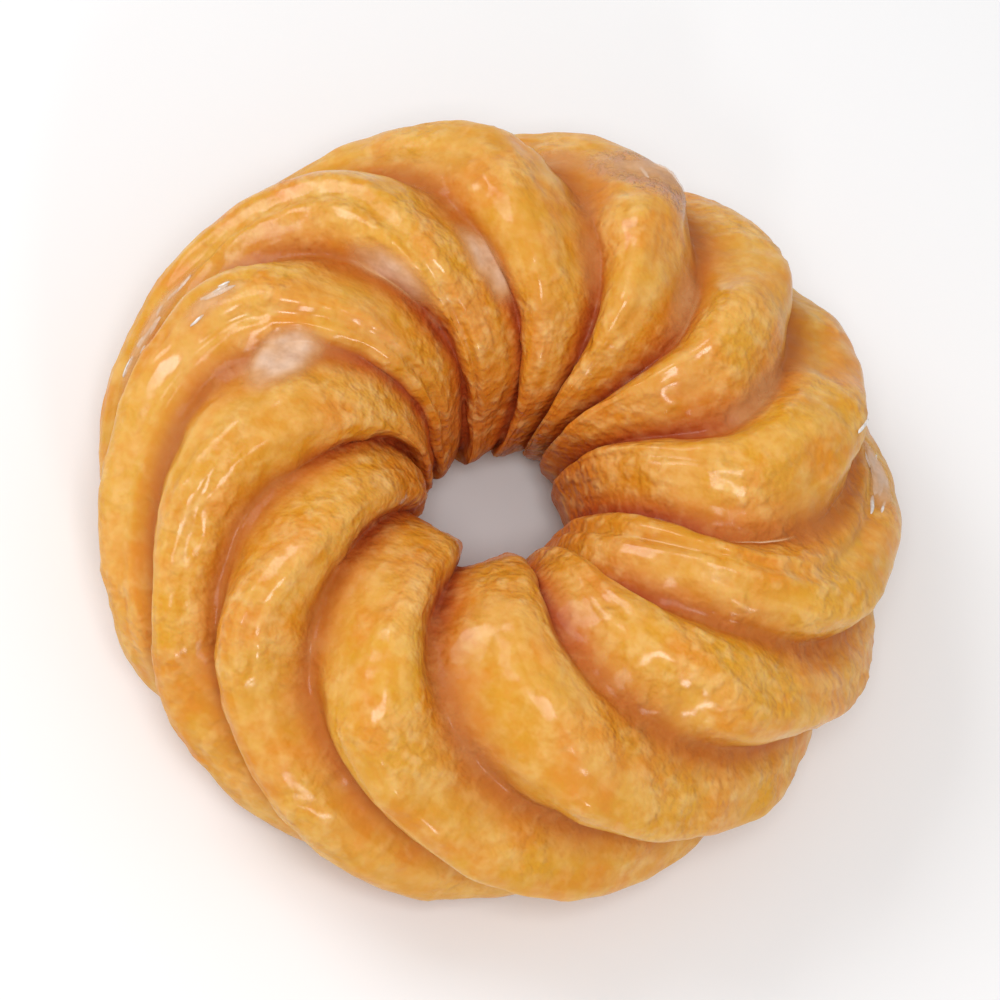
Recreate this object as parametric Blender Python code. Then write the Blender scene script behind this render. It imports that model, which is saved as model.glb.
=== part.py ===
"""French cruller doughnut: one closed solid of fried choux dough.

A rope of dough is piped through a star tip into a ring. Its ridges wind round the
rope as it goes round the ring, so from above they fan out from the hole in curved,
overlapping lobes. The ring rests on its underside, which is pressed flat there.

Frame: metres, +Z up along the hole. The origin is the centre of the bottom face of
the object's box, so the cruller stands on the plane z = 0.
"""
import math

import bmesh
import bpy

# Driving sizes of the ring
OUTER_DIAMETER = 0.088      # over the widest lobes
ROPE_WIDTH = 0.0360         # of the dough rope, from the hole to the outer rim
ROPE_HEIGHT = 0.0340        # of the dough rope before it is pressed flat underneath
PRESSED = 0.0020            # height lost where the ring rests

# Ridges: one furrow lies between each ridge and the next, counter-clockwise
RIDGES = 12
RIDGES_PER_WIND = 4         # ridges that a furrow passes while it goes once round the rope
FIRST_FURROW = 10.0         # where furrow 0 crosses the crown, degrees from +X
LEAD = 18.1                 # extra sweep towards the outer rim, degrees
TRAIL = 3.0                 # extra sweep under the ring, degrees
CREST_AT_RIM = 0.38         # place of the crest between its clockwise furrow, 0, and the other, 1
CREST_AT_HOLE = 0.60
ROUNDING = 2.2              # power of the ridge's rounded section, 2 is a parabola
FILLET = 0.8                # how far a ridge's long side eases into its furrow, up to 1
FILLET_STEEP = 0.3          # part of that on its steep side
# Cosines of the side, 1 at the rim and -1 in the hole, between which the section changes
TURNOVER_SPAN = (0.8, 0.1)  # a ridge's steep side changes over
FILLET_SPAN = (-0.85, 0.1)  # the fillets grow from nothing

# Furrow depth below the crests, by the side of the rope that it is on
DEPTH_OUTSIDE = 0.0048
DEPTH_CROWN = 0.0044
DEPTH_HOLE = 0.0024
DEPTH_UNDERSIDE = 0.0015

# How uneven the piping is, one value for each ridge, counter-clockwise from furrow 0
FURROW_SHIFT = (0, 4, 2, -1, -1, -3, -5, -2, -4, -3, 5, 7)              # degrees
RIM_DRAG = (0, 0, -2, -7, -8, -3, 6, 14, 4, 3, 0, 0)                    # degrees, at the rim
HOLE_DRAG = (20, 18, 6, -6, -12, -8, -5, -22, -6, 5, 4, -14)            # degrees, in the hole
SWELL = (0.7, 0.5, 0.0, -0.2, -0.5, -0.6, -0.1, -0.2, 0.2, 0.8, 0.9, 0.4)  # mm of rope radius

# Low in the hole the dough spreads inwards, by these amounts in mm
HEEL = (0.5, 0.0, 0.0, 1.5, 3.4, 3.6, 2.2, 0.6, 0.5, 0.8, 0.8, 0.5)
HEEL_SIDE = math.radians(215.0)
HEEL_EDGE = 0.72            # cosine of the angle from there at which the heel ends

# Mesh
STEPS_PER_RIDGE = 10
STEPS_ROUND_ROPE = 40

MILLIMETRE = 0.001
FULL_TURN = 2 * math.pi
RIDGE_PITCH = 360 / RIDGES
RING_RADIUS = (OUTER_DIAMETER - ROPE_WIDTH) / 2
FLOOR_LEVEL = PRESSED - ROPE_HEIGHT / 2


def between_ridges(values, place):
    """Read a smooth closed curve through one value for each ridge, at a place counted in ridges."""
    cell = math.floor(place)
    part = place - cell
    before, start, end, after = (values[(cell + step) % len(values)] for step in (-1, 0, 1, 2))
    slope_in = (end - before) / 2
    slope_out = (after - start) / 2
    rise = end - start
    cubic = slope_in + slope_out - 2 * rise
    square = 3 * rise - 2 * slope_in - slope_out
    return start + part * (slope_in + part * (square + part * cubic))


def winding(side):
    """Ridges that a furrow has passed at this side of the rope, which is 0 at the outer rim."""
    swept = LEAD * math.sin(side) + TRAIL * math.cos(side)
    return RIDGES_PER_WIND * side / FULL_TURN + swept / RIDGE_PITCH


def ease(value, start, end):
    """0 where the value is at start, 1 where it is at end, smooth between."""
    part = min(1.0, max(0.0, (value - start) / (end - start)))
    return part * part * (3 - 2 * part)


def ridge_section(across, side):
    """Height of a ridge, 0 in its two furrows and 1 on its crest.

    At the rim a ridge drops steeply on its clockwise side, and towards the hole on the other.
    """
    turnover = ease(math.cos(side), *TURNOVER_SPAN)
    crest_place = CREST_AT_RIM + turnover * (CREST_AT_HOLE - CREST_AT_RIM)
    if across < crest_place:
        away = 1 - across / crest_place
        eased = turnover
    else:
        away = (across - crest_place) / (1 - crest_place)
        eased = 1 - turnover
    fillet = FILLET * (FILLET_STEEP + (1 - FILLET_STEEP) * eased) * ease(math.cos(side), *FILLET_SPAN)
    rounded = 1 - away ** ROUNDING
    filleted = (1 + math.cos(math.pi * away)) / 2
    return rounded + fillet * (filleted - rounded)


def furrow_depth(side):
    """Depth of the furrows at this side of the rope."""
    level = math.cos(side)
    height = math.sin(side)
    across = DEPTH_OUTSIDE if level > 0 else DEPTH_HOLE
    upright = DEPTH_CROWN if height > 0 else DEPTH_UNDERSIDE
    return across * level ** 2 + upright * height ** 2


def surface_point(ridge_count, side):
    """Point of the dough at a place counted in ridges along the furrows' rows, and a side."""
    place = ridge_count - winding(side) + winding(math.pi / 2)
    rim = max(0.0, math.cos(side)) ** 2
    hole = max(0.0, -math.cos(side)) ** 2
    turned = FIRST_FURROW + RIDGE_PITCH * place + between_ridges(FURROW_SHIFT, place)
    turned += rim * between_ridges(RIM_DRAG, place) + hole * between_ridges(HOLE_DRAG, place)
    turned = math.radians(turned)

    lost = furrow_depth(side) * (1 - ridge_section(ridge_count % 1.0, side))
    lost -= between_ridges(SWELL, place) * MILLIMETRE
    radius = RING_RADIUS + (ROPE_WIDTH / 2 - lost) * math.cos(side)
    heel = ease(math.cos(side - HEEL_SIDE), HEEL_EDGE, 1.0)
    radius -= heel * between_ridges(HEEL, place) * MILLIMETRE
    height = (ROPE_HEIGHT / 2 - lost) * math.sin(side)
    return radius * math.cos(turned), radius * math.sin(turned), max(height, FLOOR_LEVEL)


def crust_material():
    """Golden fried crust under a thin sugar glaze."""
    material = bpy.data.materials.new("glazed_crust")
    material.use_nodes = True
    shader = material.node_tree.nodes["Principled BSDF"]
    shader.inputs["Base Color"].default_value = (0.76, 0.36, 0.07, 1.0)
    shader.inputs["Roughness"].default_value = 0.35
    shader.inputs["Metallic"].default_value = 0.0
    return material


def make_cruller():
    """Build the ridged ring: rows along the ridges, closed onto the ridge that each one winds into."""
    columns = RIDGES * STEPS_PER_RIDGE
    shift = RIDGES_PER_WIND * STEPS_PER_RIDGE
    mesh = bmesh.new()
    rows = []
    for row in range(STEPS_ROUND_ROPE):
        side = FULL_TURN * row / STEPS_ROUND_ROPE
        rows.append([mesh.verts.new(surface_point(column / STEPS_PER_RIDGE, side))
                     for column in range(columns)])
    # After one wind a row meets the first row again, RIDGES_PER_WIND ridges further on
    rows.append([rows[0][(column - shift) % columns] for column in range(columns)])
    for lower, upper in zip(rows, rows[1:]):
        for column in range(columns):
            following = (column + 1) % columns
            mesh.faces.new((lower[column], lower[following], upper[following], upper[column]))
    bmesh.ops.recalc_face_normals(mesh, faces=mesh.faces)
    centre_on_base(mesh)

    data = bpy.data.meshes.new("cruller")
    mesh.to_mesh(data)
    mesh.free()
    data.shade_smooth()
    data.materials.append(crust_material())
    cruller = bpy.data.objects.new("cruller", data)
    bpy.context.scene.collection.objects.link(cruller)
    return cruller


def centre_on_base(mesh):
    """Move the mesh so that the bottom centre of its box is the origin."""
    middle = []
    for axis in (0, 1):
        reach = [vertex.co[axis] for vertex in mesh.verts]
        middle.append((min(reach) + max(reach)) / 2)
    bmesh.ops.translate(mesh, verts=mesh.verts, vec=(-middle[0], -middle[1], -FLOOR_LEVEL))


for leftover in list(bpy.data.objects):
    bpy.data.objects.remove(leftover)
make_cruller()
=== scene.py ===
"""Looks of one glazed French cruller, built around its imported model."""
import math

import bpy
from mathutils import Matrix, Vector


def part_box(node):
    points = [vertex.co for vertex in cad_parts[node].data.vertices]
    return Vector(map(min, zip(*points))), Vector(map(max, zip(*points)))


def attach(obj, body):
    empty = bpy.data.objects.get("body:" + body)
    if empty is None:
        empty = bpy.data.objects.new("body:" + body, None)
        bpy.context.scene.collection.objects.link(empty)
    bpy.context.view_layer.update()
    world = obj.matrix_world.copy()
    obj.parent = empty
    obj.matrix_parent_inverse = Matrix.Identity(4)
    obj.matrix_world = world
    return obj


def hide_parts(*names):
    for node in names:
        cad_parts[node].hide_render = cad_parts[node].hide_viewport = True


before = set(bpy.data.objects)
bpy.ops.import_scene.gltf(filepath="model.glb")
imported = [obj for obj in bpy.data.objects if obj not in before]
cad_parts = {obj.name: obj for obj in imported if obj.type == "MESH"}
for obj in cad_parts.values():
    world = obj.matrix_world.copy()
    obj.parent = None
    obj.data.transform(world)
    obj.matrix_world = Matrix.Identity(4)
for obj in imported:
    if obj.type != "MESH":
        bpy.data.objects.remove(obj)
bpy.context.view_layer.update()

# The ring of dough. Choux paste is piped through a star tip into a ring, so the tip's ridges wind
# round the rope and fan out from the hole as overlapping lobes. It is fried golden, and its crust
# is thin, slightly blistered and finely lined along the ridges.
MILLIMETRE = 0.001
FULL_TURN = 2 * math.pi
cruller_low, cruller_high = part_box("cruller")
RIDGES = 12
RIDGES_PER_WIND = 4
PRESSED = 2.0 * MILLIMETRE
# How uneven the piping is, one value for each ridge, counter-clockwise from the furrow nearest +X
FURROW_SHIFT = (0, 4, 2, -1, -1, -3, -5, -2, -4, -3, 5, 7)               # degrees round the ring
RIM_DRAG = (0, 0, -2, -7, -8, -3, 6, 14, 4, 3, 0, 0)                     # degrees, at the rim
HOLE_DRAG = (20, 18, 6, -6, -12, -8, -5, -22, -6, 5, 4, -14)             # degrees, in the hole
HEEL = (0.5, 0.0, 0.0, 1.5, 3.4, 3.6, 2.2, 0.6, 0.5, 0.8, 0.8, 0.5)      # mm, spread low in the hole
SWELL = (0.7, 0.5, 0.0, -0.2, -0.5, -0.6, -0.1, -0.2, 0.2, 0.8, 0.9, 0.4)  # mm of rope radius
FURROW_STRENGTH = (0.9, 1.1, 1.1, 1.0, 0.9, 1.0, 0.6, 1.0, 1.15, 1.1, 0.8, 0.85)
FOLD = (0.3, 0.0, 0.2, 0.1, 0.9, 0.8, 0.3, 0.0, 0.2, 0.0, 0.3, 0.9)      # strength of a second crease
FOLD_PLACE = 0.62           # across the ridge, from its clockwise furrow
FOLD_SWAY = 0.08
FOLD_REACH = 0.13
# Cosines of the rope's side, 1 at the rim and -1 in the hole, between which the section changes
TURNOVER_SPAN = (0.8, 0.1)  # a ridge's steep side changes over
FILLET_SPAN = (-0.85, 0.1)  # the fillets grow from nothing
FILLET_STEEP = 0.3          # part of the fillet on a ridge's steep side
HEEL_EDGE = 0.72            # cosine of the angle from the heel's middle at which it ends
FLOOR_BLEND = 0.6 * MILLIMETRE
STRANDS = 13.0              # how closely the lengthwise lines stand
DOUGH = {
    "Rope width": 36.0 * MILLIMETRE,
    "Rope height": cruller_high.z + PRESSED - max(SWELL) * MILLIMETRE,
    "Outer diameter": (cruller_high.x - cruller_low.x + cruller_high.y - cruller_low.y) / 2,
    "Pressed": PRESSED,
    "First furrow": math.radians(10.0),
    "Lead": math.radians(18.1),
    "Trail": math.radians(3.0),
    "Crest at rim": 0.38,
    "Crest at hole": 0.60,
    "Rounding": 2.2,
    "Fillet": 0.8,
    "Furrow fill": 0.08,
    "Lean": 1.2 * MILLIMETRE,
    "Heel side": math.radians(215.0),
    "Fold depth": 0.9 * MILLIMETRE,
    "Depth outside": 4.8 * MILLIMETRE,
    "Depth crown": 4.4 * MILLIMETRE,
    "Depth hole": 2.4 * MILLIMETRE,
    "Depth underside": 1.5 * MILLIMETRE,
    "Lumps": 1.6 * MILLIMETRE,
    "Lines": 0.5 * MILLIMETRE,
    "Dimples": 0.75 * MILLIMETRE,
    "Blisters": 0.14 * MILLIMETRE,
    "Steps per ridge": 36,
    "Steps round rope": 224,
}


class Wire:
    """A socket in a node tree. Arithmetic on wires adds Math nodes, and make() adds any other node."""

    def __init__(self, tree, socket=None):
        self.tree = tree
        self.socket = socket

    def make(self, kind, settings=None, inputs=None, output=None):
        """Add a node: its settings first, then values or wires for its sockets. Returns one output."""
        node = self.tree.nodes.new(kind)
        for name, value in (settings or {}).items():
            if name == "choices":
                for _ in range(value - len(node.index_switch_items)):
                    node.index_switch_items.new()
            else:
                setattr(node, name, value)
        for key, value in (inputs or {}).items():
            socket = self.pick(node.inputs, key)
            if isinstance(value, Wire):
                self.tree.links.new(value.socket, socket)
            else:
                socket.default_value = value
        return Wire(self.tree, self.pick(node.outputs, output)) if len(node.outputs) else node

    @staticmethod
    def pick(sockets, key):
        """The socket at this index, or the first one in use with this name, or the first in use."""
        if isinstance(key, int):
            return sockets[key]
        return next(s for s in sockets if s.enabled and key in (None, s.name))

    def math(self, operation, *others):
        inputs = {place: value for place, value in enumerate((self, *others))}
        return self.make("ShaderNodeMath", {"operation": operation}, inputs)

    def __add__(self, other):
        return self.math("ADD", other)

    def __radd__(self, other):
        return self.math("ADD", other)

    def __sub__(self, other):
        return self.math("SUBTRACT", other)

    def __rsub__(self, other):
        return self * -1.0 + other

    def __mul__(self, other):
        return self.math("MULTIPLY", other)

    def __rmul__(self, other):
        return self.math("MULTIPLY", other)

    def __truediv__(self, other):
        return self.math("DIVIDE", other)

    def __pow__(self, other):
        return self.math("POWER", other)

    def sin(self):
        return self.math("SINE")

    def cos(self):
        return self.math("COSINE")

    def clamp(self):
        return self.math("MAXIMUM", 0.0).math("MINIMUM", 1.0)

    def ease(self, start, end):
        """0 where the wire is at start, 1 where it is at end, smooth between."""
        return self.make("ShaderNodeMapRange", {"interpolation_type": "SMOOTHSTEP"},
                         {"Value": self, "From Min": start, "From Max": end})

    def vector(self, *parts):
        return self.make("ShaderNodeCombineXYZ", None, dict(zip("XYZ", parts)))

    def noise(self, place, scale, detail=2.0, roughness=0.5):
        """Noise from 0 to 1 about 0.5, with this many features a metre where place is in metres."""
        return self.make("ShaderNodeTexNoise", None, {
            "Vector": place, "Scale": scale, "Detail": detail, "Roughness": roughness}, "Fac")


def new_tree(name, sizes):
    """A Geometry Nodes tree with a named input for each size, its wire, and a wire for each input."""
    tree = bpy.data.node_groups.new(name, "GeometryNodeTree")
    kinds = {int: "NodeSocketInt", float: "NodeSocketFloat", bpy.types.Object: "NodeSocketObject"}
    for label, value in sizes.items():
        tree.interface.new_socket(label, in_out="INPUT", socket_type=kinds[type(value)])
    tree.interface.new_socket("Geometry", in_out="OUTPUT", socket_type="NodeSocketGeometry")
    entry = tree.nodes.new("NodeGroupInput")
    return Wire(tree), {label: Wire(tree, entry.outputs[label]) for label in sizes}


def grow(name, wire, geometry, sizes, material):
    """Close the tree with realized instances and a material, run it, and keep a plain mesh object."""
    geometry = wire.make("GeometryNodeRealizeInstances", None, {"Geometry": geometry})
    geometry = wire.make("GeometryNodeSetMaterial", None, {"Geometry": geometry, "Material": material})
    exit_node = wire.tree.nodes.new("NodeGroupOutput")
    wire.tree.links.new(geometry.socket, exit_node.inputs[0])
    piece = bpy.data.objects.new(name, bpy.data.meshes.new(name))
    bpy.context.scene.collection.objects.link(piece)
    modifier = piece.modifiers.new(name, "NODES")
    modifier.node_group = wire.tree
    for item in wire.tree.interface.items_tree:
        if item.in_out == "INPUT":
            modifier[item.identifier] = sizes[item.name]
    graph = bpy.context.evaluated_depsgraph_get()
    mesh = bpy.data.meshes.new_from_object(
        piece.evaluated_get(graph), preserve_all_data_layers=True, depsgraph=graph)
    piece.modifiers.clear()
    piece.data = mesh
    mesh.name = name
    return piece


def by_ridge(values, cell):
    """The value of one ridge, whose number may run past either end of the round."""
    index = cell.math("FLOORED_MODULO", float(len(values)))
    inputs = {"Index": index + 0.5}
    inputs.update({place + 1: value for place, value in enumerate(values)})
    return cell.make("GeometryNodeIndexSwitch", {"data_type": "FLOAT", "choices": len(values)}, inputs)


def round_ring(values, place):
    """A smooth closed curve through one value for each ridge."""
    cell = place.math("FLOOR")
    part = place - cell
    before, start, end, after = (by_ridge(values, cell + step) for step in (-1.0, 0.0, 1.0, 2.0))
    slope_in = (end - before) * 0.5
    slope_out = (after - start) * 0.5
    rise = end - start
    cubic = slope_in + slope_out - rise * 2.0
    square = rise * 3.0 - slope_in * 2.0 - slope_out
    return start + part * (slope_in + part * (square + part * cubic))


def stored_value(wire, label, kind="FLOAT"):
    """A value kept on the crust's points."""
    return wire.make("GeometryNodeInputNamedAttribute", {"data_type": kind}, {"Name": label})


def winding(side, size):
    """Ridges that a furrow has passed at this side of the rope, which is 0 at the outer rim."""
    swept = size["Lead"] * side.sin() + size["Trail"] * side.cos()
    return side * (RIDGES_PER_WIND / FULL_TURN) + swept * (RIDGES / FULL_TURN)


def dough_tree(wire, size):
    """The ring: a grid of ridges by steps round the rope, bent into shape and closed on itself."""
    columns = size["Steps per ridge"] * float(RIDGES)
    grid = wire.make("GeometryNodeMeshGrid", None, {
        "Size X": 1.0, "Size Y": 1.0, "Vertices X": columns + 1.0,
        "Vertices Y": size["Steps round rope"] + 1.0})
    spot = wire.make("GeometryNodeInputPosition")
    across_grid = wire.make("ShaderNodeSeparateXYZ", None, {"Vector": spot}, "X")
    along_grid = Wire(wire.tree, across_grid.socket.node.outputs["Y"])
    # The rope is closed at its underside, where the side is a quarter turn below the rim
    ridge_count = (across_grid + 0.5) * float(RIDGES)
    side = (along_grid + 0.5) * FULL_TURN - FULL_TURN / 4
    level = side.cos()
    height = side.sin()
    shown = (height * 0.5 + 0.5).ease(0.0, 0.35)

    # Where the place is round the ring
    crown_winding = RIDGES_PER_WIND / 4 + DOUGH["Lead"] * RIDGES / FULL_TURN
    place = ridge_count - winding(side, size) + crown_winding
    rim = level.math("MAXIMUM", 0.0) ** 2.0
    hole = (level * -1.0).math("MAXIMUM", 0.0) ** 2.0
    degrees = round_ring(FURROW_SHIFT, place) + rim * round_ring(RIM_DRAG, place)
    degrees = degrees + hole * round_ring(HOLE_DRAG, place)
    turned = size["First furrow"] + place * (FULL_TURN / RIDGES) + degrees * (math.pi / 180)

    # The ridge's section, 0 in its furrows and 1 on its crest. At the rim a ridge drops steeply on
    # its clockwise side, and towards the hole on the other. Its long side eases into the furrow.
    cell = ridge_count.math("FLOOR")
    across = ridge_count - cell
    turnover = level.ease(*TURNOVER_SPAN)
    crest_place = size["Crest at rim"] + turnover * (size["Crest at hole"] - size["Crest at rim"])
    before = (1.0 - across / crest_place).math("MAXIMUM", 0.0)
    beyond = ((across - crest_place) / (1.0 - crest_place)).math("MAXIMUM", 0.0)
    away = before + beyond
    is_beyond = beyond.math("GREATER_THAN", 0.0)
    eased = turnover + is_beyond * (1.0 - turnover * 2.0)
    fillet = size["Fillet"] * (FILLET_STEEP + (1 - FILLET_STEEP) * eased) * level.ease(*FILLET_SPAN)
    rounded = 1.0 - away ** size["Rounding"]
    filleted = (away * math.pi).cos() * 0.5 + 0.5
    crest = rounded + (filleted - rounded) * fillet
    crest = (crest * crest + size["Furrow fill"] * size["Furrow fill"]).math("SQRT")
    weak = by_ridge(FURROW_STRENGTH, cell)
    strong = by_ridge(FURROW_STRENGTH, cell + 1.0)
    strength = 1.0 + shown * (weak + (strong - weak) * across - 1.0)

    outward = level.math("GREATER_THAN", 0.0)
    upward = height.math("GREATER_THAN", 0.0)
    beside = size["Depth hole"] + outward * (size["Depth outside"] - size["Depth hole"])
    above = size["Depth underside"] + upward * (size["Depth crown"] - size["Depth underside"])
    depth = beside * level * level + above * height * height
    lost = depth * strength * (1.0 - crest) - round_ring(SWELL, place) * MILLIMETRE
    # A second, shallow crease sways along the ridge
    sway = (side * 2.0 + cell * 2.3).sin() * FOLD_SWAY
    groove = (across - FOLD_PLACE - sway).math("ABSOLUTE").ease(FOLD_REACH, 0.0)
    lost = lost + by_ridge(FOLD, cell) * groove * size["Fold depth"] * height.ease(-0.2, 0.5)

    ring_radius = (size["Outer diameter"] - size["Rope width"]) * 0.5
    radius = ring_radius + (size["Rope width"] * 0.5 - lost) * level
    heel = (side - size["Heel side"]).cos().ease(HEEL_EDGE, 1.0)
    radius = radius - heel * round_ring(HEEL, place) * MILLIMETRE
    rise = (size["Rope height"] * 0.5 - lost) * height
    floor_level = size["Pressed"] - size["Rope height"] * 0.5
    rise = rise.math("SMOOTH_MAX", floor_level, FLOOR_BLEND)
    turned = turned - size["Lean"] * (1.0 - turnover * 2.0) * crest * shown / radius

    # Lengthwise lines are laid out by ridge, so they fade before the seam under the ring
    ring_turn = ridge_count * (FULL_TURN / RIDGES)
    line_place = wire.vector(ring_turn.cos() * STRANDS, ring_turn.sin() * STRANDS, side * 0.9)
    lines = (wire.noise(line_place, 1.0, 2.0) - 0.5) * shown

    # What the looks need is kept on the mesh before it is bent, while its places are still the grid's
    for label, value in (("crest", crest), ("side_out", level), ("side_up", height),
                         ("side", side), ("ridge", ridge_count), ("lines", lines)):
        grid = wire.make("GeometryNodeStoreNamedAttribute", {"data_type": "FLOAT", "domain": "POINT"}, {
            "Geometry": grid, "Name": label, "Value": value})
    bent = wire.make("GeometryNodeSetPosition", None, {
        "Geometry": grid, "Position": wire.vector(radius * turned.cos(), radius * turned.sin(), rise)})
    # The way along the ridges is from each point to the next of the grid
    index = wire.make("GeometryNodeInputIndex")
    following = wire.make("GeometryNodeFieldAtIndex", {"data_type": "FLOAT_VECTOR"}, {
        "Value": spot, "Index": index + 1.0})
    along = wire.make("ShaderNodeVectorMath", {"operation": "SUBTRACT"}, {0: following, 1: spot})
    bent = wire.make("GeometryNodeStoreNamedAttribute", {"data_type": "FLOAT_VECTOR", "domain": "POINT"}, {
        "Geometry": bent, "Name": "along", "Value": along})
    closed = wire.make("GeometryNodeMergeByDistance", None, {
        "Geometry": bent, "Distance": 0.002 * MILLIMETRE})

    # Centre the ring on its base, then raise lumps, lines and blisters out of it
    low = wire.make("GeometryNodeBoundBox", None, {"Geometry": closed}, "Min")
    high = Wire(wire.tree, low.socket.node.outputs["Max"])
    middle = wire.make("ShaderNodeVectorMath", {"operation": "ADD"}, {0: low, 1: high})
    shift = wire.make("ShaderNodeVectorMath", {"operation": "MULTIPLY"}, {
        0: middle, 1: (-0.5, -0.5, 0.0)})
    base = wire.make("ShaderNodeVectorMath", {"operation": "MULTIPLY"}, {0: low, 1: (0.0, 0.0, -1.0)})
    shift = wire.make("ShaderNodeVectorMath", {"operation": "ADD"}, {0: shift, 1: base})
    centred = wire.make("GeometryNodeSetPosition", None, {"Geometry": closed, "Offset": shift})
    lumps = wire.noise(spot, 90.0, 1.0) - 0.5
    dimples = wire.noise(spot, 270.0, 1.0, 0.4) - 0.5
    patch = wire.noise(spot, 110.0, 1.0).ease(0.42, 0.62)
    blister = wire.noise(spot, 750.0, 1.0).ease(0.5, 0.75)
    raised = lumps * size["Lumps"] + stored_value(wire, "lines") * size["Lines"]
    raised = raised + dimples * size["Dimples"] + blister * patch * size["Blisters"]
    above_floor = wire.make("ShaderNodeSeparateXYZ", None, {"Vector": spot}, "Z")
    raised = raised * above_floor.ease(0.2 * MILLIMETRE, 2.5 * MILLIMETRE)
    normal = wire.make("GeometryNodeInputNormal")
    push = wire.make("ShaderNodeVectorMath", {"operation": "SCALE"}, {0: normal, "Scale": raised})
    shaped = wire.make("GeometryNodeSetPosition", None, {"Geometry": centred, "Offset": push})
    return wire.make("GeometryNodeSetShadeSmooth", None, {"Geometry": shaped})


GOLD = (0.70, 0.325, 0.016, 1.0)
DEEP_GOLD = (0.67, 0.285, 0.013, 1.0)
ORANGE = (0.72, 0.235, 0.008, 1.0)
CREAM = (0.81, 0.48, 0.13, 1.0)
STREAK_HIGHLIGHT = (0.81, 0.47, 0.11, 1.0)
AMBER = (0.70, 0.25, 0.008, 1.0)
FURROW_BROWN_AND_SHADE = (0.54, 0.155, 0.012, 1.0)
CREASE_SHADE_BROWN = (0.40, 0.085, 0.008, 1.0)
TOWARDS_HOLE_BROWN = (0.62, 0.19, 0.010, 1.0)
HOLE_SHADE_RED = (0.60, 0.13, 0.014, 1.0)
RECESS_SHADE_RED = (0.46, 0.06, 0.006, 1.0)
SLIT_SHADE_RED = (0.26, 0.026, 0.006, 1.0)
UNDER_BROWN = (0.44, 0.16, 0.03, 1.0)
BLISTER_HIGHLIGHT = (0.88, 0.57, 0.21, 1.0)
SOAKED_PINK = (0.58, 0.30, 0.19, 1.0)
SOAKED_RIDGE = 2.43
SOAKED_SIDE = math.radians(49.0)
SOAKED_WIDTH = 0.42         # in ridges
SOAKED_LENGTH = math.radians(17.0)


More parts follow.
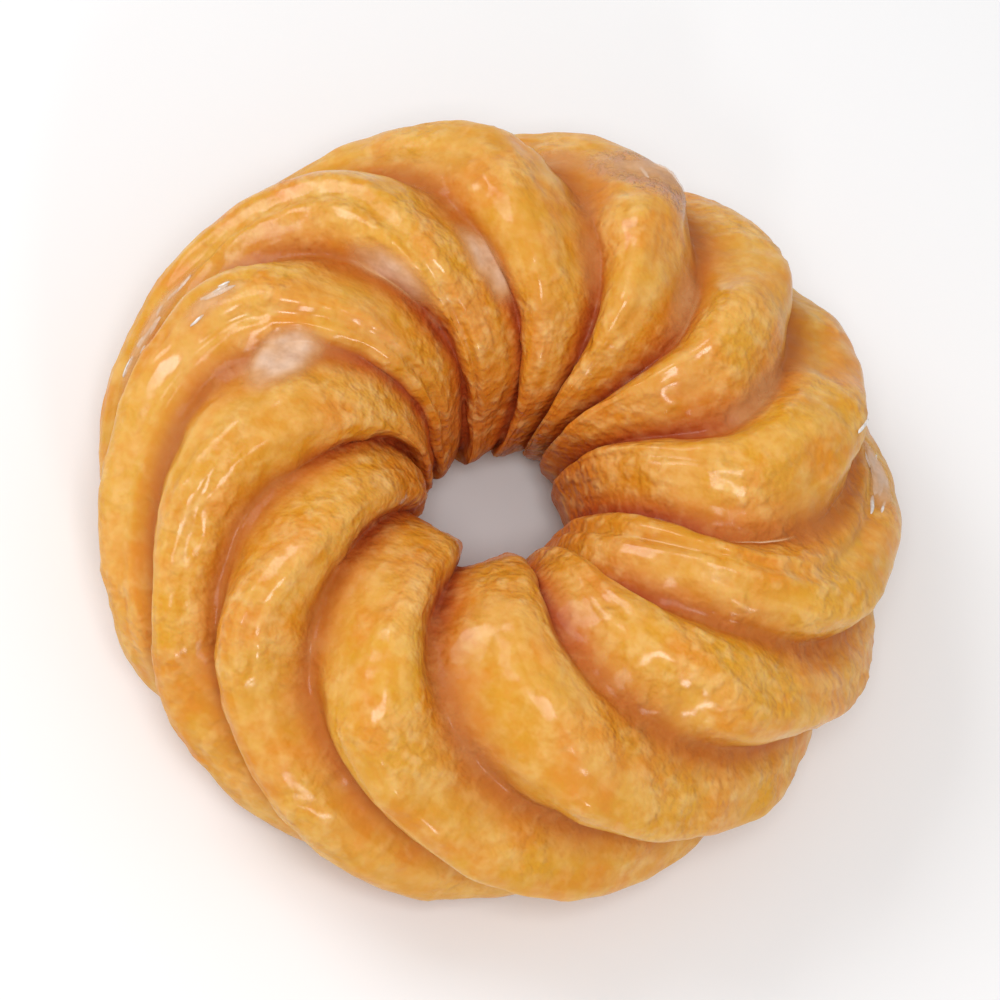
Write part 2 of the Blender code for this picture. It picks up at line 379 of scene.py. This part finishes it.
def crust_material():
    """Fried crust: mottled gold, deeper in the furrows with partly painted shade, painted red-brown shade
    down the hole, under clear glaze.
    """
    material = bpy.data.materials.new("fried_crust")
    material.use_nodes = True
    tree = material.node_tree
    wire = Wire(tree)
    shader = tree.nodes["Principled BSDF"]
    place = wire.make("ShaderNodeTexCoord", None, None, "Object")
    crest, side_out, side_up, lines, ridge, side = (
        wire.make("ShaderNodeAttribute", {"attribute_name": label}, None, "Fac")
        for label in ("crest", "side_out", "side_up", "lines", "ridge", "side"))

    def tint(factor, colour, other):
        return wire.make("ShaderNodeMix", {"data_type": "RGBA"}, {
            "Factor": factor, "A": colour, "B": other})

    # Gold and orange, with paler, creamy mottling where the glaze has dried thinly
    broad = wire.noise(place, 75.0, 2.0).ease(0.35, 0.65)
    ripe = wire.noise(place, 150.0, 2.0).ease(0.46, 0.62)
    mottle = wire.noise(place, 260.0, 3.0, 0.6).ease(0.42, 0.72)
    fleck = wire.noise(place, 700.0, 2.0, 0.6).ease(0.45, 0.7)
    # Painted highlight: paler along the raised lengthwise lines
    streak_highlight = (lines + 0.5).ease(0.5, 0.62)
    colour = tint(broad, GOLD, DEEP_GOLD)
    colour = tint(ripe * 0.6, colour, ORANGE)
    colour = tint(mottle * 0.6, colour, CREAM)
    colour = tint(streak_highlight * 0.3, colour, STREAK_HIGHLIGHT)
    colour = tint(fleck * 0.35, colour, AMBER)
    # Browner and darker in the furrows: partly the crust's own browning, partly painted shade
    furrow = crest.ease(0.7, 0.05)
    colour = tint(furrow * 0.8, colour, FURROW_BROWN_AND_SHADE)
    # Browner towards the hole
    near_hole = side_out.ease(0.1, -0.85)
    colour = tint(near_hole * 0.38, colour, TOWARDS_HOLE_BROWN)
    # Painted shade: darker red-brown down the hole, where little light reaches
    hole = side_out.ease(-0.55, -1.0) * side_up.ease(0.85, 0.1)
    colour = tint(hole * 0.65, colour, HOLE_SHADE_RED)
    # Painted shade: dark brown in the bottoms of the creases on the upper side
    crease_shade = crest.ease(0.32, 0.06) * side_up.ease(0.0, 0.4)
    colour = tint(crease_shade * 0.55, colour, CREASE_SHADE_BROWN)
    # Painted shade: darker red in the furrows towards the hole
    recess_shade = furrow * side_out.ease(0.1, -0.6)
    colour = tint(recess_shade * 0.7, colour, RECESS_SHADE_RED)
    # Painted shade: dark red in the narrowest creases near the hole
    slit_shade = crest.ease(0.34, 0.06) * side_out.ease(-0.15, -0.65)
    colour = tint(slit_shade * 0.55, colour, SLIT_SHADE_RED)
    under = side_up.ease(-0.35, -0.9)
    colour = tint(under * 0.6, colour, UNDER_BROWN)

    # Fine, uneven blisters stand in patches, most of them near the hole, and their tops carry a paler
    # painted highlight
    patch = (wire.noise(place, 105.0, 2.0) + near_hole * 0.16).ease(0.42, 0.62)
    pebble = wire.noise(place, 650.0, 1.0, 0.4)
    spared = (1.0 - under * 0.8) * (1.0 - furrow * 0.8)
    pale = pebble.ease(0.46, 0.74) * (0.14 + patch * 0.26) * spared
    colour = tint(pale, colour, BLISTER_HIGHLIGHT)
    # High on the rim one patch is dull and wrinkled, where the glaze has soaked in
    gap = (ridge - SOAKED_RIDGE) / SOAKED_WIDTH
    rise = (side - SOAKED_SIDE) / SOAKED_LENGTH
    soaked = (gap * gap + rise * rise).ease(1.1, 0.3) * side_up.ease(0.2, 0.5)
    wrinkles = wire.noise(place, 620.0, 3.0, 0.65).ease(0.35, 0.65)
    colour = tint(soaked * (0.4 + wrinkles * 0.6), colour, SOAKED_PINK)
    tree.links.new(colour.socket, shader.inputs["Base Color"])

    # The glaze over it is thinnest in the furrows, down the hole and low on the sides
    roughness = 0.42 + wire.noise(place, 260.0, 2.0) * 0.2 + furrow * 0.15
    tree.links.new(roughness.socket, shader.inputs["Roughness"])
    coat = 0.3 + near_hole * 0.2 + wire.noise(place, 140.0, 2.0).ease(0.35, 0.6) * 0.5
    coat = coat * (1.0 - furrow * 0.7) * (1.0 - hole * 0.8)
    coat = coat * (0.45 + side_up.ease(0.1, 0.75) * 0.55)
    tree.links.new(coat.socket, shader.inputs["Coat Weight"])
    shader.inputs["Specular IOR Level"].default_value = 0.25
    shader.inputs["Coat Roughness"].default_value = 0.15
    shader.inputs["Coat IOR"].default_value = 1.45
    shader.inputs["Subsurface Weight"].default_value = 0.25
    shader.inputs["Subsurface Radius"].default_value = (1.0, 0.42, 0.12)
    shader.inputs["Subsurface Scale"].default_value = 2.0 * MILLIMETRE
    ripple = wire.noise(place, 420.0, 1.0, 0.4)
    grain = wire.noise(place, 1150.0, 1.0, 0.4)
    relief = pebble * (0.25 + patch * 0.6) + grain * (0.45 + patch * 0.7) + ripple * 0.65 + lines * 0.4
    relief = relief + soaked * wrinkles * 1.2
    bump = wire.make("ShaderNodeBump", None, {
        "Height": relief, "Distance": 0.34 * MILLIMETRE, "Strength": 1.0})
    tree.links.new(bump.socket, shader.inputs["Normal"])
    return material


dough_wire, dough_inputs = new_tree("Cruller ring", DOUGH)
crust = grow("crust", dough_wire, dough_tree(dough_wire, dough_inputs), DOUGH, crust_material())
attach(crust, "root")
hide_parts("cruller")

# The glaze. Thin sugar glaze is poured on while the cruller is hot. It stays clear and glossy on the
# crests, and where it pools in the furrows and at the rim it sets into pale, milky films.
GLAZE = {
    "Crust": crust,
    "Thickness": 0.42 * MILLIMETRE,
    "Sunk": 0.14 * MILLIMETRE,
    "Edge": 0.05 * MILLIMETRE,
}
# Larger pools: ridge, degrees up the rope from the rim, width in ridges, length in degrees, strength
POOLS = (
    (6.08, 86.0, 0.32, 17.0, 1.35),
    (4.90, 97.0, 0.20, 26.0, 1.15),
    (4.10, 104.0, 0.22, 24.0, 1.15),
    (3.10, 98.0, 0.16, 20.0, 0.5),
    (2.88, 35.0, 0.25, 14.0, 0.8),
    (2.50, 48.0, 0.36, 13.0, 0.9),
    (2.10, 88.0, 0.20, 24.0, 0.7),
    (1.06, 83.0, 0.20, 26.0, 0.7),
    (11.66, 20.0, 0.12, 11.0, 1.3),
    (9.02, 62.0, 0.14, 20.0, 0.35),
    (4.66, 12.0, 0.12, 18.0, 0.9),
    (5.50, 54.0, 0.12, 12.0, 0.8),
)
THINNEST = 0.03             # mask below which the crust is left bare


def near_spot(ridge, side, spot):
    """0 at the middle of a spot and 1 at its edge: squared, by ridge and by degrees up the rope."""
    spot_ridge, spot_side, width, length = spot
    gap = (ridge - spot_ridge).math("WRAP", RIDGES / 2, -RIDGES / 2) / width
    rise = (side - math.radians(spot_side)) / math.radians(length)
    return gap * gap + rise * rise


def glaze_mask(wire):
    """How thick the milky glaze is, from 0 to about 1: pools in the furrows, broken up by noise."""
    spot = wire.make("GeometryNodeInputPosition")
    crest, side_out, side_up, ridge, side = (
        stored_value(wire, label) for label in ("crest", "side_out", "side_up", "ridge", "side"))
    drift = wire.make("ShaderNodeVectorMath", {"operation": "ADD"}, {0: spot, 1: (0.3, 0.1, 0.7)})
    furrow = crest.ease(0.55, 0.05)
    patches = wire.noise(drift, 95.0, 1.0).ease(0.50, 0.68)
    streaks = wire.noise(drift, 420.0, 2.0, 0.6)
    mask = furrow * patches * side_up.ease(0.2, 0.7) * 0.35
    for *pool, strength in POOLS:
        mask = mask.math("MAXIMUM", near_spot(ridge, side, pool).ease(1.0, 0.0) * strength)
    # None down the hole, nor under the ring, where the rope's two ends meet
    shown = side_out.ease(-0.85, -0.5) * side_up.ease(-0.7, -0.5)
    return mask * (0.55 + streaks * 0.9) * shown


def glaze_tree(wire, size):
    """Thin closed shells: the crust where the mask is, sunk a little, then thickened by the mask."""
    source = wire.make("GeometryNodeObjectInfo", None, {"Object": size["Crust"]}, "Geometry")
    source = wire.make("GeometryNodeStoreNamedAttribute", {"data_type": "FLOAT", "domain": "POINT"}, {
        "Geometry": source, "Name": "glaze", "Value": glaze_mask(wire)})
    glaze = stored_value(wire, "glaze")
    bare = glaze.math("LESS_THAN", THINNEST)
    film = wire.make("GeometryNodeDeleteGeometry", {"domain": "FACE"}, {
        "Geometry": source, "Selection": bare})
    normal = wire.make("GeometryNodeInputNormal")
    down = wire.make("ShaderNodeVectorMath", {"operation": "SCALE"}, {
        0: normal, "Scale": size["Sunk"] * -1.0})
    film = wire.make("GeometryNodeSetPosition", None, {"Geometry": film, "Offset": down})
    lift = size["Sunk"] - size["Edge"] + size["Thickness"] * glaze
    raised = wire.make("ShaderNodeVectorMath", {"operation": "SCALE"}, {0: normal, "Scale": lift})
    top = wire.make("GeometryNodeExtrudeMesh", {"mode": "FACES"}, {
        "Mesh": film, "Offset": raised, "Offset Scale": 1.0, "Individual": False})
    under = wire.make("GeometryNodeFlipFaces", None, {"Mesh": film})
    both = wire.make("GeometryNodeJoinGeometry", None, {"Geometry": top})
    wire.tree.links.new(under.socket, both.socket.node.inputs["Geometry"])
    closed = wire.make("GeometryNodeMergeByDistance", None, {
        "Geometry": both, "Distance": 0.001 * MILLIMETRE})
    return wire.make("GeometryNodeSetShadeSmooth", None, {"Geometry": closed})


THIN_GLAZE = (0.83, 0.45, 0.18, 1.0)
MILKY_GLAZE = (0.86, 0.60, 0.43, 1.0)


def glaze_material():
    """Set sugar glaze: milky, see-through where it is thin, and glossy."""
    material = bpy.data.materials.new("set_glaze")
    material.use_nodes = True
    tree = material.node_tree
    wire = Wire(tree)
    shader = tree.nodes["Principled BSDF"]
    place = wire.make("ShaderNodeTexCoord", None, None, "Object")
    glaze = wire.make("ShaderNodeAttribute", {"attribute_name": "glaze"}, None, "Fac")
    colour = wire.make("ShaderNodeMix", {"data_type": "RGBA"}, {
        "Factor": glaze.ease(0.7, 1.5), "A": THIN_GLAZE, "B": MILKY_GLAZE})
    tree.links.new(colour.socket, shader.inputs["Base Color"])
    cloud = 0.6 + wire.noise(place, 700.0, 2.0, 0.6) * 0.8
    alpha = (glaze.ease(0.05, 1.35) * cloud * 0.74).clamp()
    tree.links.new(alpha.socket, shader.inputs["Alpha"])
    shader.inputs["Roughness"].default_value = 0.34
    shader.inputs["IOR"].default_value = 1.45
    bump = wire.make("ShaderNodeBump", None, {
        "Height": wire.noise(place, 900.0), "Distance": 0.12 * MILLIMETRE, "Strength": 1.0})
    tree.links.new(bump.socket, shader.inputs["Normal"])
    return material


glaze_wire, glaze_inputs = new_tree("Pooled glaze", GLAZE)
films = glaze_tree(glaze_wire, glaze_inputs)
glaze_film = grow("glaze_film", glaze_wire, films, GLAZE, glaze_material())
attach(glaze_film, "root")

# Flakes of dried sugar, partly a painted highlight for glints. Where the thin glaze dries first, on the
# ridges' edges and on the rim, it turns white and breaks into slivers that lie along the ridges, half sunk
# in the crust.
FLAKES_AND_GLINTS = {
    "Crust": crust,
    "Length": 1.3 * MILLIMETRE,
    "Width": 0.22 * MILLIMETRE,
    "Thickness": 0.20 * MILLIMETRE,
    "Unevenness": 0.4 * MILLIMETRE,
    "Per square metre": 4000.0,
    "Seed": 7,
}
# Where they are thick: ridge, degrees up the rope from the rim, width in ridges, length in degrees
FLAKE_AND_GLINT_SPOTS = (
    (5.47, 57.0, 0.04, 6.0),
    (5.55, 50.0, 0.04, 3.0),
    (4.66, 12.0, 0.05, 13.0),
    (11.66, 20.0, 0.06, 8.0),
    (2.56, 50.0, 0.06, 6.0),
)
SPOT_DENSITY = 260.0        # against the usual number


def flake_and_glint_mask(wire):
    """How many flakes lie here, against the usual number."""
    crest, side_up = stored_value(wire, "crest"), stored_value(wire, "side_up")
    ridge, side = stored_value(wire, "ridge"), stored_value(wire, "side")
    spot = wire.make("GeometryNodeInputPosition")
    patches = wire.noise(spot, 110.0).ease(0.5, 0.66)
    mask = crest.ease(0.6, 0.95) * side_up.ease(-0.4, 0.2) * patches
    for flaked in FLAKE_AND_GLINT_SPOTS:
        mask = mask + near_spot(ridge, side, flaked).ease(1.0, 0.4) * SPOT_DENSITY
    return mask * side_up.ease(-0.7, -0.5)


def scattered_tree(wire, size, mask, roundness):
    """Uneven grains, longer along the ridges, set on the crust where the mask says."""
    source = wire.make("GeometryNodeObjectInfo", None, {"Object": size["Crust"]}, "Geometry")
    points = wire.make("GeometryNodeDistributePointsOnFaces", None, {
        "Mesh": source, "Density": mask * size["Per square metre"], "Seed": size["Seed"]}, "Points")
    normal = Wire(wire.tree, points.socket.node.outputs["Normal"])
    sway = wire.make("FunctionNodeRandomValue", {"data_type": "FLOAT_VECTOR"}, {
        "Min": (-0.3, -0.3, -0.3), "Max": (0.3, 0.3, 0.3), "Seed": size["Seed"]})
    along = wire.make("ShaderNodeVectorMath", {"operation": "NORMALIZE"}, {
        0: stored_value(wire, "along", "FLOAT_VECTOR")})
    along = wire.make("ShaderNodeVectorMath", {"operation": "ADD"}, {0: along, 1: sway})
    turn = wire.make("FunctionNodeAlignRotationToVector", {"axis": "Z"}, {"Vector": normal})
    turn = wire.make("FunctionNodeAlignRotationToVector", {"axis": "X", "pivot_axis": "Z"}, {
        "Rotation": turn, "Vector": along})
    spread = wire.make("FunctionNodeRandomValue", {"data_type": "FLOAT"}, {
        "Min": 0.4, "Max": 1.5, "Seed": size["Seed"] + 1.0})
    proportions = wire.vector(
        size["Length"] * spread, size["Width"] * (spread * 0.5 + 0.5), size["Thickness"])
    grain = wire.make("GeometryNodeMeshIcoSphere", None, {
        "Radius": 1.0, "Subdivisions": roundness}, "Mesh")
    grains = wire.make("GeometryNodeInstanceOnPoints", None, {
        "Points": points, "Instance": grain, "Rotation": turn, "Scale": proportions})
    grains = wire.make("GeometryNodeRealizeInstances", None, {"Geometry": grains})
    spot = wire.make("GeometryNodeInputPosition")
    wobble = wire.make("ShaderNodeTexNoise", None, {
        "Vector": spot, "Scale": 900.0, "Detail": 1.0}, "Color")
    wobble = wire.make("ShaderNodeVectorMath", {"operation": "SUBTRACT"}, {
        0: wobble, 1: (0.5, 0.5, 0.5)})
    wobble = wire.make("ShaderNodeVectorMath", {"operation": "SCALE"}, {
        0: wobble, "Scale": size["Unevenness"]})
    grains = wire.make("GeometryNodeSetPosition", None, {"Geometry": grains, "Offset": wobble})
    return wire.make("GeometryNodeSetShadeSmooth", None, {"Geometry": grains})


def sugar_material(name, colour, roughness, cover):
    """Dried glaze, from clear and wet-looking to white and matt."""
    material = bpy.data.materials.new(name)
    material.use_nodes = True
    tree = material.node_tree
    wire = Wire(tree)
    shader = tree.nodes["Principled BSDF"]
    place = wire.make("ShaderNodeTexCoord", None, None, "Object")
    fine = wire.noise(place, 1600.0, 2.0, 0.6)
    darker = tuple(part * 0.8 for part in colour[:3]) + (1.0,)
    shade = wire.make("ShaderNodeMix", {"data_type": "RGBA"}, {
        "Factor": fine.ease(0.35, 0.65), "A": colour, "B": darker})
    tree.links.new(shade.socket, shader.inputs["Base Color"])
    alpha = (cover + wire.noise(place, 500.0) * 0.3).clamp()
    tree.links.new(alpha.socket, shader.inputs["Alpha"])
    shader.inputs["Roughness"].default_value = roughness
    bump = wire.make("ShaderNodeBump", None, {
        "Height": fine, "Distance": 0.05 * MILLIMETRE, "Strength": 1.0})
    tree.links.new(bump.socket, shader.inputs["Normal"])
    return material


flake_and_glint_wire, flake_and_glint_inputs = new_tree("Sugar flakes", FLAKES_AND_GLINTS)
flakes_and_glints = scattered_tree(flake_and_glint_wire, flake_and_glint_inputs, flake_and_glint_mask(flake_and_glint_wire), 2)
# White slivers: dried sugar, and partly a painted highlight for glints on the glaze
sugar_and_glint_white = sugar_material("dried_sugar_and_glint", (0.98, 0.95, 0.91, 1.0), 0.25, 0.75)
sugar_flakes = grow("sugar_flakes", flake_and_glint_wire, flakes_and_glints, FLAKES_AND_GLINTS, sugar_and_glint_white)
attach(sugar_flakes, "root")

# Drips of glaze. It runs down the furrows while the cruller drains on a rack, and dries as small
# clear beads near their lower ends.
DRIPS = {
    "Crust": crust,
    "Length": 2.1 * MILLIMETRE,
    "Width": 1.0 * MILLIMETRE,
    "Thickness": 0.65 * MILLIMETRE,
    "Unevenness": 0.5 * MILLIMETRE,
    "Per square metre": 40000.0,
    "Seed": 3,
}


def drip_mask(wire):
    """Where drips stop: in the furrows, low on the outer side."""
    furrow = stored_value(wire, "crest").ease(0.45, 0.15)
    band = stored_value(wire, "side_up")
    outside = stored_value(wire, "side_out").ease(0.3, 0.5)
    return furrow * outside * band.ease(-0.75, -0.55) * band.ease(-0.2, -0.35)


drip_wire, drip_inputs = new_tree("Glaze drips", DRIPS)
drips = scattered_tree(drip_wire, drip_inputs, drip_mask(drip_wire), 3)
dried_clear = sugar_material("dried_glaze", (0.88, 0.64, 0.40, 1.0), 0.16, 0.5)
glaze_drips = grow("glaze_drips", drip_wire, drips, DRIPS, dried_clear)
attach(glaze_drips, "root")

# The table it is shown on: a plain pale sheet in a paper-white room.
FLOOR_SIZE = 1.6
bpy.ops.mesh.primitive_plane_add(size=FLOOR_SIZE)
floor = bpy.context.object
floor.name = "floor"
floor.location.z = -0.02 * MILLIMETRE
pale = bpy.data.materials.new("pale_sheet")
pale.use_nodes = True
pale.node_tree.nodes["Principled BSDF"].inputs["Base Color"].default_value = (0.92, 0.92, 0.93, 1.0)
pale.node_tree.nodes["Principled BSDF"].inputs["Roughness"].default_value = 0.7
floor.data.materials.append(pale)

world = bpy.data.worlds.new("studio")
world.use_nodes = True
world.node_tree.nodes["Background"].inputs["Color"].default_value = (1.0, 0.99, 0.98, 1.0)
world.node_tree.nodes["Background"].inputs["Strength"].default_value = 0.53
bpy.context.scene.world = world
bpy.context.scene.view_settings.view_transform = "Standard"

# The camera looks down at 67 degrees from the horizontal, turned so that the ring's upright leans
# 31 degrees to the right of the picture's.
CAMERA_DISTANCE = 0.48
ELEVATION = math.radians(67.0)
ROLL = math.radians(31.0)
centre = Vector((0.0, 0.0, cruller_high.z / 2))
forward = Vector((0.0, math.cos(ELEVATION), -math.sin(ELEVATION)))
level_right = Vector((1.0, 0.0, 0.0))
level_up = level_right.cross(forward)
right = level_right * math.cos(ROLL) + level_up * math.sin(ROLL)
up = level_up * math.cos(ROLL) - level_right * math.sin(ROLL)


def aim(thing, place, direction, upright):
    """Put a camera or light at a place, looking along a direction."""
    sideways = direction.cross(upright).normalized()
    upright = sideways.cross(direction)
    turn = Matrix((sideways, upright, -direction)).transposed()
    thing.matrix_world = Matrix.Translation(place) @ turn.to_4x4()


lens = bpy.data.cameras.new("camera")
lens.lens = 160.0
lens.clip_start = 0.01
camera = bpy.data.objects.new("camera", lens)
bpy.context.scene.collection.objects.link(camera)
aim(camera, centre - forward * CAMERA_DISTANCE, forward, up)
bpy.context.scene.camera = camera


# Three soft boxes: a key light high on the left, one beside the camera, and a small one from below
# that glints on the far wall of the hole.
def soft_box(name, sideways, upwards, towards, width, power):
    """A square area light, placed from the camera's point of view: right, up and towards it, metres."""
    light = bpy.data.lights.new(name, "AREA")
    light.size = width
    light.energy = power
    lamp = bpy.data.objects.new(name, light)
    bpy.context.scene.collection.objects.link(lamp)
    place = centre + right * sideways + up * upwards - forward * towards
    direction = (centre - place).normalized()
    aim(lamp, place, direction, up if abs(direction.dot(up)) < 0.9 else right)


soft_box("key", -0.28, 0.42, 0.40, 0.28, 1.4)
soft_box("front", 0.03, 0.02, 0.60, 0.18, 1.25)
soft_box("kick", 0.12, -0.34, 0.42, 0.07, 0.30)
